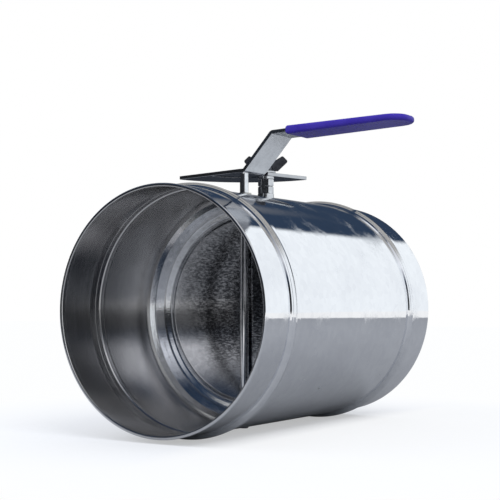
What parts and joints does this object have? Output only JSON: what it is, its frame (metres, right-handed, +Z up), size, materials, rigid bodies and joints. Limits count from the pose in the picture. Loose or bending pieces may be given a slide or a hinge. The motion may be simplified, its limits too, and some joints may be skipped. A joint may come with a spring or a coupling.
{
  "type": "volume control damper",
  "caption": "Round duct volume control damper with a beaded sheet casing, a butterfly blade and a lockable sector handle.",
  "frame": {"origin": "centre of the front rim's plane, on the duct's axis", "axes": "+Y runs along the duct's axis from the front rim to the rear rim, +Z is up along the spindle towards the handle, +X is to the right, where the handle points while the blade is closed"},
  "size_m": [0.2068, 0.235, 0.2101],
  "materials": {
    "galvanised_sheet": "zinc-coated sheet, satin with fine scratches",
    "blade_sheet": "zinc-coated sheet, mottled satin",
    "handle_steel": "bright zinc plate",
    "spindle_steel": "drawn bright bar",
    "plated_fastener": "bright zinc-plated",
    "spring_steel": "dark oiled spring steel",
    "bearing": "sintered bronze",
    "grip_vinyl": "dipped violet-blue vinyl, glossy"
  },
  "bodies": {
    "casing": {"casing_shell": "galvanised_sheet", "upper_bush": "bearing", "lower_bush": "bearing", "clamp_stud": "plated_fastener", "stud_saddle": "plated_fastener", "base_nut": "plated_fastener", "support_nut": "plated_fastener", "slide_washer": "plated_fastener"},
    "rotor": {"spindle": "spindle_steel", "upper_thrust_washer": "spring_steel", "lower_thrust_washer": "spring_steel", "upper_clip": "spring_steel", "lower_clip": "spring_steel", "blade": "blade_sheet", "blade_screws": "plated_fastener", "blade_washers": "plated_fastener", "handle_sector": "handle_steel", "handle_grip": "grip_vinyl"},
    "clamp": {"clamp_washer": "plated_fastener", "wing_nut": "plated_fastener"}
  },
  "joints": [
    {"name": "blade_turn", "type": "hinge", "parent": "casing", "child": "rotor", "pos_m": [0, 0.101, 0], "axis": [0, 0, 1], "range_deg": [-80, 0]},
    {"name": "wing_nut_turn", "type": "hinge", "parent": "casing", "child": "clamp", "pos_m": [0.00118, 0.12797, 0.1], "axis": [0, 0, 1], "range_deg": [-40, 40]}
  ]
}
